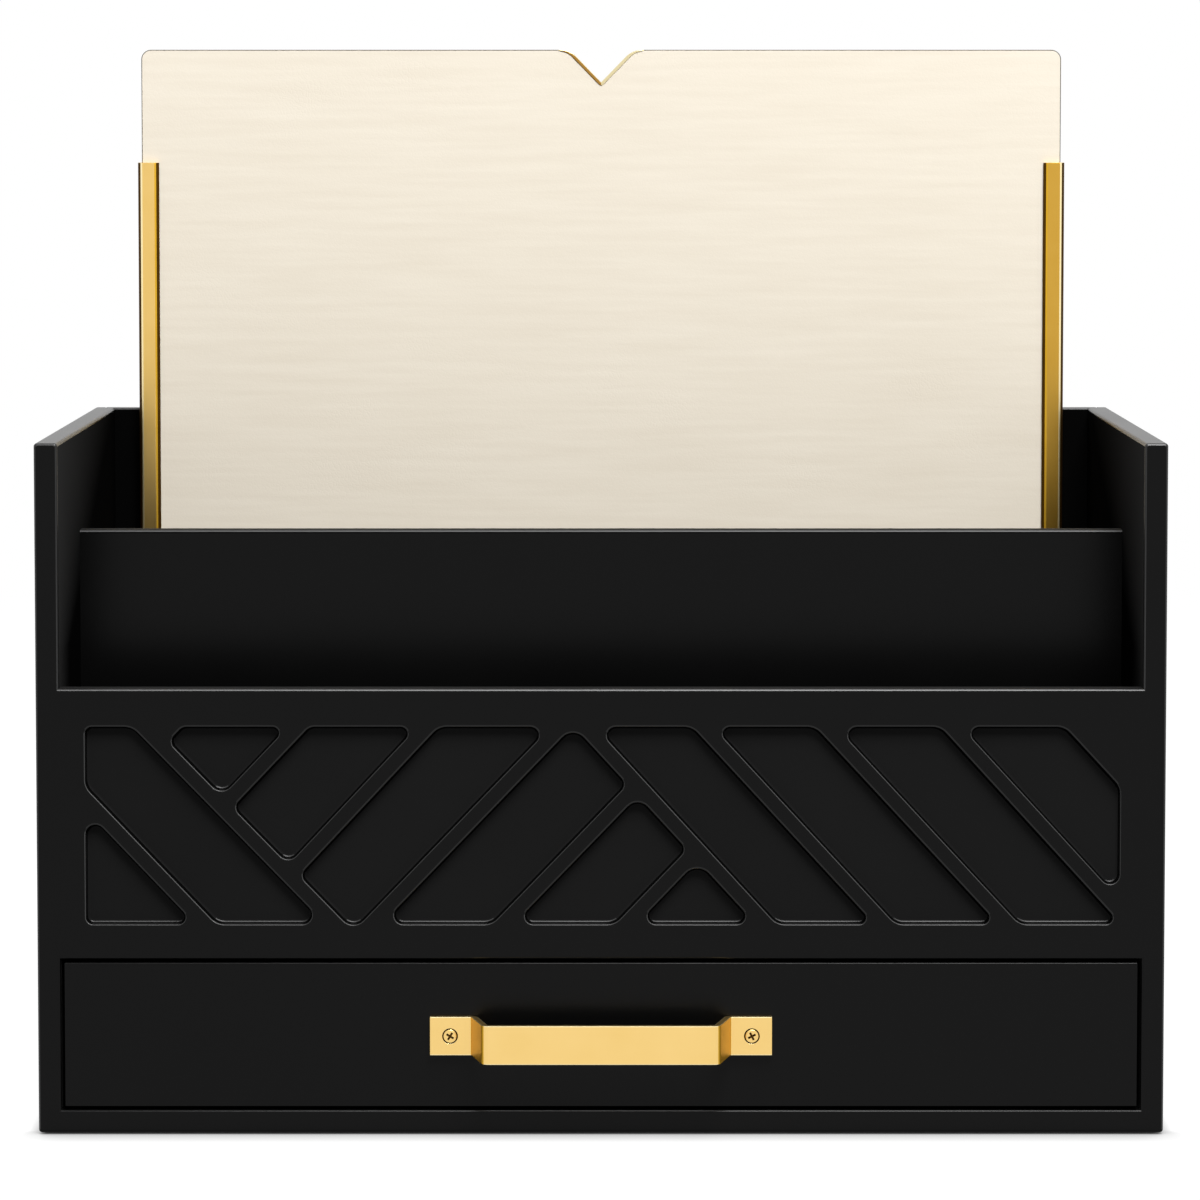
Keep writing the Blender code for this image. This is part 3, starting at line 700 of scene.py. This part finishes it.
def bay_sheen(point):
    """Painted falloff on the inner sides, satin on the divider's face, painted shade
    elsewhere.
    """
    if abs(abs(point.x) - inner) < hair:
        return sheltered
    if abs(point.y - divider_low.y) < hair:
        return satin
    in_bays = abs(point.x) < inner and shelf_front - hair < point.y < back_face
    # The rest of the bays: painted shade.
    return matt_shade if in_bays else satin


# %% Sink the twelve pockets into the front
profile = router_profile(pocket_depth, rim_round, floor_round, flat_land)
for pocket in pocket_walls:
    mouth = flat_face(skin, pocket_mouth(pocket, rim_round + flat_land),
                      lambda point: (point.x, front, field_centre + point.y))
    mouth.normal_update()
    if mouth.normal.y > 0:
        mouth.normal_flip()
    sink(skin, mouth, profile)
fill_sheet(skin, (0, -1, 0))
bmesh.ops.recalc_face_normals(skin, faces=skin.faces[:])
spread_sheens(skin, bay_sheen, (panel_high.z, divider_high.z))
finish_piece("cabinet_skin", skin, "cabinet",
             [lacquer, rubbed_highlit_lacquer, painted_falloff_lacquer, dull_lacquer, matt_painted_shade_lacquer,
              pocket_lacquer, soft_lacquer, right_highlight_lacquer, hanging_lacquer],
             ["left_side_panel", "right_side_panel", "base_panel", "front_panel",
              "shelf_panel", "divider_panel"])

# %% [markdown]
# ## The back board
# The back board closes the step at the back of the sides. The four screws that hold the
# channels go in through it from behind, each in a countersunk hole.

# %% Build the back board
hole_radius = 0.0025
back_board_round = 0.0006
back_hole_rim = 0.0002
back_hole_depth = 0.003
screw_places = []
for node in ("left_rail_screw_lower", "left_rail_screw_upper",
             "right_rail_screw_lower", "right_rail_screw_upper"):
    low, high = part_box(node)
    screw_places.append(Vector(((low.x + high.x) / 2, back, (low.z + high.z) / 2)))
play = Vector((joint_gap, 0, 0))
board = welded_boards([(tuple(back_low - play), tuple(back_high + play))])
soften(board, outer_edges(board), back_board_round, segments=3)
open_holes(board, screw_places, 1, hole_radius, back_hole_rim, back_hole_depth)
# The back board's face towards the bays wears the painted falloff, nearly black there.
spread_sheens(board,
              lambda point: sheltered if point.y < back_face + edge_round else satin)
finish_piece("back_board_skin", board, "cabinet",
             [lacquer, rubbed_highlit_lacquer, painted_falloff_lacquer], ["back_panel"])

# %% [markdown]
# ## The drawer
# The drawer is a lacquered box with its front planted on. Its front is inset in the
# cabinet with about a millimetre of air all round, which shows as a thin black line.

# %% Build the drawer
face_low, face_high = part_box("drawer_front")
wall_low, wall_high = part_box("drawer_right_side")
rear_low, rear_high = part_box("drawer_back")
floor_low, floor_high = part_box("drawer_bottom")
drawer_round = 0.0007
drawer_boards = [
    (tuple(face_low), tuple(face_high)),
    ((-wall_high.x, rear_low.y, rear_low.z), (wall_high.x, rear_high.y, rear_high.z)),
    ((-wall_high.x, face_high.y, floor_low.z), (wall_high.x, rear_high.y, floor_high.z)),
]
for side in (-1, 1):
    left, right = on_side(side, wall_low.x, wall_high.x)
    drawer_boards.append(((left, face_high.y, wall_low.z),
                          (right, wall_high.y, wall_high.z)))
box = welded_boards(drawer_boards, ((0.0,), (), ()))
merge_flat_faces(box)
soften(box, outer_edges(box), drawer_round)
spread_sheens(box, lambda point: sheltered if point.y > face_high.y - hair else satin)
finish_piece("drawer_box", box, "drawer", [lacquer, rubbed_highlit_lacquer, dull_lacquer],
             ["drawer_front", "drawer_left_side", "drawer_right_side",
                         "drawer_back", "drawer_bottom"])

# %% [markdown]
# ## The handle
# The handle is a flat brass strap, bent twice at each end. Its outline seen from above
# is offset from one centre path, grown to the width of the strap, and its long edges are
# rounded. Each foot is opened with a countersunk hole for its screw.

# %% Bend the strap
handle_low, handle_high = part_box("drawer_handle")
handle_middle = (handle_low.z + handle_high.z) / 2
strap_thickness = 0.002
strap_bend = 0.0005
strap_round = 0.00028
foot_length = 0.0121
bar_length = 0.0705


def shifted_path(path, distance):
    """An open path moved sideways, with its corners mitred."""
    runs = [(start + Vector((start.y - end.y, end.x - start.x)).normalized() * distance,
             (end - start).normalized()) for start, end in zip(path, path[1:])]
    last = runs[-1][0] + (path[-1] - path[-2])
    return [runs[0][0], *(crossing(run, later) for run, later in zip(runs, runs[1:])), last]


half_strap = strap_thickness / 2
strap_end = handle_high.x
foot_end = strap_end - foot_length - half_strap
bar_end = bar_length / 2 - half_strap
foot_line = handle_high.y - half_strap
bar_line = handle_low.y + half_strap
right_half = [Vector((strap_end, foot_line)), Vector((foot_end, foot_line)),
              Vector((bar_end, bar_line))]
path = [Vector((-point.x, point.y)) for point in right_half] + right_half[::-1]
tight, wide = strap_bend, strap_bend + strap_thickness
outline = shifted_path(path, half_strap) + shifted_path(path, -half_strap)[::-1]
strap = grown_solid(rounded_outline(outline, [0, wide, tight, tight, wide, 0,
                                              0, tight, wide, wide, tight, 0]),
                    lambda point: (point.x, point.y, handle_low.z),
                    (0, 0, handle_high.z - handle_low.z))

# %% Open the screw holes and round the strap's edges
screw_across = strap_end - foot_length / 2
foot_face = handle_high.y - strap_thickness
hole_rim = 0.00008
hole_depth = strap_thickness * 0.9
# Slots: duller brass with painted shade, dark brown painted shade, pale painted highlight.
dull_shaded, dark, pale = 1, 2, 3
inward_edges = [edge for edge in strap.edges
                if is_level(edge, 2) and is_corner(edge) and not edge.is_convex]
soften(strap, outer_edges(strap) + inward_edges, strap_round, segments=2)
open_holes(strap, [Vector((side * screw_across, foot_face, handle_middle))
                   for side in (-1, 1)], -1, hole_radius, hole_rim, hole_depth)
# Painted light on the strap: its rounded top and bottom edges are a pale painted highlight,
# its legs the darker brass of painted shade, and its screw holes a dark brown of painted
# shade.
for face in strap.faces:
    middle = face.calc_center_median()
    from_hole = math.hypot(abs(middle.x) - screw_across, middle.z - handle_middle)
    if 0.2 < abs(face.normal.z) < flat:
        face.material_index = pale
    if abs(face.normal.x) > 0.6 and abs(middle.x) < strap_end - half_strap:
        face.material_index = dull_shaded
    if from_hole < hole_radius and middle.y > foot_face + hole_rim / 2:
        face.material_index = dark
finish_piece("drawer_handle_strap", strap, "drawer",
             [handle_brass, dull_shaded_brass, painted_shade_brass, painted_highlight_brass],
             ["drawer_handle"])

# %% [markdown]
# ## The screws
# Each screw has a domed head with a cross drive. The head is a profile spun round its
# axis, and the cross is taken out with a Boolean, which is applied at once so that the
# finished piece carries no leftover cutter. Everything below the dome is a dark brown of
# painted shade.

# %% Turn the screws and cut their cross drives
head_radius = 0.002
head_dome = 0.0003
head_rim = 0.0005
neck = 0.0013
shank_radius = 0.0011
shank_end = 0.003
dark_from = -0.00005
drive_length = 0.0028
drive_width = 0.0007
drive_depth = 0.0007
drive_taper = 0.6


def turned_screw(place, facing, turn):
    """A screw head with a short shank, facing along -Y or +Y, as a bmesh."""
    arc = [math.pi / 2 * step / 6 for step in range(7)]
    profile = [(head_radius * math.sin(a), -head_dome * math.cos(a)) for a in arc]
    profile += [(head_radius, head_rim), (shank_radius, neck), (shank_radius, shank_end),
                (0, shank_end)]
    bm = bmesh.new()
    points = [bm.verts.new((radius, depth, 0)) for radius, depth in profile]
    edges = [bm.edges.new(pair) for pair in zip(points, points[1:])]
    bmesh.ops.spin(bm, geom=points + edges, cent=(0, 0, 0), axis=(0, 1, 0),
                   angle=math.tau, steps=48, use_merge=True)
    bmesh.ops.remove_doubles(bm, verts=bm.verts[:], dist=hair / 10)
    bmesh.ops.recalc_face_normals(bm, faces=bm.faces[:])
    half_long, half_wide = drive_length / 2, drive_width / 2
    corners = [(half_long, half_wide), (half_wide, half_wide), (half_wide, half_long)]
    plus = [Matrix.Rotation(math.pi / 2 * quarter, 2) @ Vector(corner)
            for quarter in range(4) for corner in corners]
    cross = grown_solid(plus, lambda point: (point.x, -2 * head_dome, point.y),
                        (0, 2 * head_dome + drive_depth, 0))
    bmesh.ops.scale(cross, verts=[v for v in cross.verts if v.co.y > 0],
                    vec=(drive_taper, 1, drive_taper))
    head, drive = as_object(bm, "head"), as_object(cross, "drive")
    cut = head.modifiers.new("drive", "BOOLEAN")
    cut.object = drive
    cut.solver = "EXACT"
    evaluated = head.evaluated_get(bpy.context.evaluated_depsgraph_get())
    carved = bmesh.new()
    carved.from_mesh(evaluated.to_mesh())
    evaluated.to_mesh_clear()
    for solid in (head, drive):
        mesh = solid.data
        bpy.data.objects.remove(solid)
        bpy.data.meshes.remove(mesh)
    # Painted shade below the dome.
    for face in carved.faces:
        if face.calc_center_median().y > dark_from:
            face.material_index = 1
    aim = Matrix.Rotation(0 if facing < 0 else math.pi, 4, "Z")
    bmesh.ops.transform(carved, verts=carved.verts[:], matrix=Matrix.Translation(place)
                        @ aim @ Matrix.Rotation(turn, 4, "Y"))
    return carved


def add_screw(name, place, facing, turn, body, material, node):
    finish_piece(name, turned_screw(place, facing, turn), body, [material, painted_shade_brass],
                 [node], smooth_angle=30)


for side, name, turn in ((-1, "left", 0.55), (1, "right", 1.1)):
    add_screw(f"handle_{name}_screw", (side * screw_across, foot_face, handle_middle), -1,
              turn, "drawer", handle_brass, f"handle_screw_{name}")
    for level in ("lower", "upper"):
        node = f"{name}_rail_screw_{level}"
        low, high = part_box(node)
        middle = (low + high) / 2
        add_screw(f"{name}_channel_screw_{level}",
                  (middle.x, back - head_dome, middle.z), 1, turn, "cabinet", left_brass,
                  node)

# %% [markdown]
# ## The brass channels
# Two upright channels grip the edges of the tall board. They are bent from sheet, so
# their outer corners are rounded, and the free edge of the front flange is rolled back
# towards the board. The section is drawn once, seen from above, and grown upwards.

# %% Build the channels
channel_round = 0.0015
roll_width = 0.0016
roll_drop = 0.0005
sheet_thickness = 0.001
sheet_round = 0.0002
end_round = 0.00012
for side, name, face_brass in ((-1, "left", left_brass), (1, "right", right_brass)):
    low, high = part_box(f"{name}_rail")
    web, lip = (low.x, high.x) if side < 0 else (high.x, low.x)
    step, wall = -side, sheet_thickness
    section = [Vector(point) for point in (
        (web, high.y), (web, low.y), (lip - step * roll_width, low.y),
        (lip - step * roll_width * 0.6, low.y + roll_drop * 0.4),
        (lip, low.y + roll_drop), (lip, low.y + wall), (web + step * wall, low.y + wall),
        (web + step * wall, high.y - wall), (lip, high.y - wall), (lip, high.y))]
    channel = grown_solid(
        rounded_outline(section, [channel_round, channel_round, roll_width / 4, 0,
                                  *[sheet_round] * 5, 2 * sheet_round]),
        lambda point: (point.x, point.y, low.z), (0, 0, high.z - low.z))
    ends = [edge for edge in channel.edges if is_level(edge, 2) and is_corner(edge)]
    soften(channel, ends, end_round, segments=2)
    # Painted light on the channel: the rolled lip and the outer bend are a dark brown of
    # painted shade, the bend's corner a pale painted highlight, and the sides, back, ends
    # and the rest of the lip the darker brass of painted shade.
    for face in channel.faces:
        middle = face.calc_center_median()
        from_lip = abs(middle.x) - abs(lip)
        outward = face.normal.x * side
        if middle.y > low.y + channel_round or abs(face.normal.z) > 0.9:
            face.material_index = dull_shaded
        elif from_lip < roll_width * 0.6:
            face.material_index = dark
        elif from_lip < roll_width * 0.95:
            face.material_index = dull_shaded
        elif outward > 0.45:
            face.material_index = dark
        elif outward > 0.05:
            face.material_index = pale
    finish_piece(f"{name}_channel", channel, "cabinet",
                 [face_brass, dull_shaded_brass, painted_shade_brass, painted_highlight_brass],
                 [f"{name}_rail"])

# %% [markdown]
# ## The tall board
# A stiff board wrapped in leatherette, with dark edges, rounded top corners and a V
# notch for the thumb. A brass trim lines the notch and runs a little way over its
# rounded shoulders. Board and trim share one path, so they meet without a gap. On the
# left the trim's lower edge is a dark brown of painted shade and its upper edge a pale
# painted highlight; the left arm's front is a darker brass and the right arm is pale all
# over.

# %% Build the board and its trim
board_low, board_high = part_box("back_board")
trim_low, trim_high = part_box("notch_trim")
notch_half = 0.0103
notch_depth = 0.0106
shoulder = 0.0075
trim_width = 0.0011
trim_end = trim_high.x
board_corner = 0.0032
board_round = 0.0007
trim_round = 0.0004
notch = [Vector((across, board_high.z - deep)) for across, deep in
         ((-trim_end, 0), (-notch_half, 0), (0, notch_depth), (notch_half, 0),
          (trim_end, 0))]
seat = shifted_path(notch, -trim_width)
for end in (seat[0], seat[-1]):
    end.y = board_high.z - trim_width / 4
bend = shoulder - trim_width


def add_board_piece(name, outline, radii, low, high, radius, square, materials, choose,
                    node):
    """A flat piece of the board, its edges rounded outside the square middle."""
    bm = grown_solid(rounded_outline(outline, radii, steps=10),
                     lambda point: (point.x, low.y, point.y), (0, high.y - low.y, 0))
    rims = [edge for edge in bm.edges
            if is_level(edge, 1) and is_corner(edge)
            and max(abs(v.co.x) for v in edge.verts) > square]
    soften(bm, rims, radius, segments=3)
    bmesh.ops.bisect_plane(bm, geom=bm.verts[:] + bm.edges[:] + bm.faces[:],
                           plane_co=(0, 0, 0), plane_no=(1, 0, 0))
    for face in bm.faces:
        face.material_index = choose(face.calc_center_median(), face.normal)
    finish_piece(name, bm, "tall_board", materials, [node])


corners = [Vector((board_low.x, board_low.z)), Vector((board_low.x, board_high.z)),
           notch[0], *seat, notch[-1],
           Vector((board_high.x, board_high.z)), Vector((board_high.x, board_low.z))]
add_board_piece("tall_board_cover", corners,
                [0, board_corner, 0, 0, bend, trim_width, bend, 0, 0, board_corner, 0],
                board_low, board_high, board_round, trim_end + hair,
                [leatherette, edge_tone],
                lambda middle, normal: int(abs(normal.y) < flat),
                "back_board")
# Left arm: lower edge painted shade, front darker brass, upper edge painted highlight.
# Right arm: pale all over.
add_board_piece("notch_edging", notch + seat[::-1],
                [0, shoulder, 0, shoulder, 0, 0, bend, trim_width, bend, 0],
                trim_low, trim_high, trim_round, 0, [painted_shade_brass, darker_left_trim_brass, pale_trim_brass],
                lambda middle, normal: (2 if middle.x > 0 or normal.z > 0.1
                                        else int(normal.z > -0.1)),
                "notch_trim")

# %% [markdown]
# ## The pads
# The pads already have their final shape, so they only get their finish. Their meshes are
# not touched.

# %% Finish the pads
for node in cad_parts:
    if node.startswith("foot_pad"):
        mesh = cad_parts[node].data
        mesh.materials.clear()
        mesh.materials.append(rubber)

# %% [markdown]
# ## Floor and light
# The sorter stands on a plain white floor in front of an even white background. The
# floor is white to the camera and in reflections, and grey to the light that bounces, so
# that the black front isn't lit from below. Ambient occlusion darkens it close to the
# sorter. As in the photo, that contact shadow reaches further in front of the sorter than
# beside it. One large soft box hangs over the camera, a weaker one above the sorter, and
# a third lights the back.

# %% Tell direct sight from bounced light
def seen_directly(tree):
    """One for rays from the camera or by way of a mirror or glass, nought for others."""
    path = add_node(tree, "ShaderNodeLightPath")
    seen = path.outputs["Is Camera Ray"]
    for kind in ("Is Glossy Ray", "Is Transmission Ray"):
        seen = add_node(tree, "ShaderNodeMath", {0: seen, 1: path.outputs[kind]},
                        operation="MAXIMUM")
    return seen


# %% Lay the floor
shadow_beside = 0.004
shadow_ahead = 0.014
shadow_blend = 0.006


def make_floor():
    bm = bmesh.new()
    bmesh.ops.create_grid(bm, x_segments=1, y_segments=1, size=12)
    floor = as_object(bm, "studio_floor")
    material = bpy.data.materials.new("white_studio_sweep")
    material.use_nodes = True
    tree = material.node_tree
    tree.nodes.remove(tree.nodes["Principled BSDF"])
    place = add_node(tree, "ShaderNodeTexCoord").outputs["Object"]
    away = add_node(tree, "ShaderNodeVectorMath", {0: place}, operation="LENGTH")
    fade = add_node(tree, "ShaderNodeMapRange",
                    {"Value": away.outputs["Value"], "From Min": 0.5, "From Max": 1.6})
    spot = add_node(tree, "ShaderNodeSeparateXYZ", {"Vector": place})
    along = add_node(tree, "ShaderNodeMath", {0: spot.outputs["Y"], 1: (front + back) / 2},
                     operation="SUBTRACT")
    ahead = add_node(tree, "ShaderNodeMath", {0: along}, operation="ABSOLUTE")
    half_depth = (back - front) / 2
    reach = add_node(tree, "ShaderNodeMapRange",
                     {"Value": ahead, "From Min": half_depth - shadow_blend,
                      "From Max": half_depth + shadow_blend,
                      "To Min": shadow_beside, "To Max": shadow_ahead})
    near = add_node(tree, "ShaderNodeAmbientOcclusion", {"Distance": reach}, samples=16)
    glow = add_node(tree, "ShaderNodeMath", {0: near.outputs["AO"], 1: 0.95},
                    operation="MULTIPLY")
    bounce = add_node(tree, "ShaderNodeBsdfDiffuse", {"Color": (0.2, 0.2, 0.2, 1.0)})
    matt_coat = add_node(tree, "ShaderNodeBsdfDiffuse", {"Color": (0.07, 0.07, 0.07, 1.0)})
    light = add_node(tree, "ShaderNodeEmission", {"Strength": glow})
    paper = add_node(tree, "ShaderNodeAddShader", {0: matt_coat, 1: light})
    backdrop = add_node(tree, "ShaderNodeEmission", {"Strength": 1.0})
    white = add_node(tree, "ShaderNodeMixShader", {0: fade, 1: paper, 2: backdrop})
    surface = add_node(tree, "ShaderNodeMixShader",
                       {0: seen_directly(tree), 1: bounce, 2: white})
    set_inputs(tree, tree.nodes["Material Output"], {"Surface": surface})
    floor.data.materials.append(material)


make_floor()

# %% Light the studio
def make_world():
    world = bpy.data.worlds.new("white_studio")
    world.use_nodes = True
    tree = world.node_tree
    strength = add_node(tree, "ShaderNodeMapRange",
                        {"Value": seen_directly(tree), "To Min": 0.3, "To Max": 1.0})
    set_inputs(tree, tree.nodes["Background"],
               {"Color": (1.0, 1.0, 1.0, 1.0), "Strength": strength})
    bpy.context.scene.world = world


lamp_target = Vector((0, 0, 0.15))


def add_soft_box(name, place, width, height, power, reflected=True):
    """A soft box that faces the sorter and that the camera doesn't see."""
    lamp = bpy.data.lights.new(name, "AREA")
    lamp.shape = "RECTANGLE"
    lamp.size, lamp.size_y = width, height
    lamp.energy = power
    light = bpy.data.objects.new(name, lamp)
    light.location = place
    light.visible_camera = False
    light.visible_glossy = reflected
    aim = (lamp_target - Vector(place)).to_track_quat("-Z", "Y")
    light.rotation_euler = aim.to_euler()
    bpy.context.collection.objects.link(light)


make_world()
add_soft_box("key_soft_box", (0.25, -0.95, 1.55), 0.7, 0.8, 40)
add_soft_box("top_soft_box", (0.2, -0.2, 1.3), 0.7, 0.6, 7)
add_soft_box("rear_soft_box", (-0.3, 1.1, 1.2), 0.8, 0.8, 24, reflected=False)

# %% [markdown]
# ## The camera
# The photo was taken from a little over the top of the cabinet with a long lens. The
# camera looks down by four degrees, and a small shift of the lens brings the sorter to
# the middle of the frame, so that its upright edges stay nearly parallel.

# %% Set up the camera
camera_tilt = 3.99
camera_distance = 1.466
camera_height = 0.3055
camera_data = bpy.data.cameras.new("product_camera")
camera_data.sensor_width = 36
camera_data.lens = 148.98
camera_data.shift_x = -0.0026
camera_data.shift_y = -0.12
camera_data.clip_end = 50
camera = bpy.data.objects.new("product_camera", camera_data)
camera.location = (0.00064, front - camera_distance, camera_height)
camera.rotation_euler = (math.radians(90 - camera_tilt), 0, 0)
bpy.context.collection.objects.link(camera)
bpy.context.scene.camera = camera
bpy.context.scene.view_settings.view_transform = "Standard"
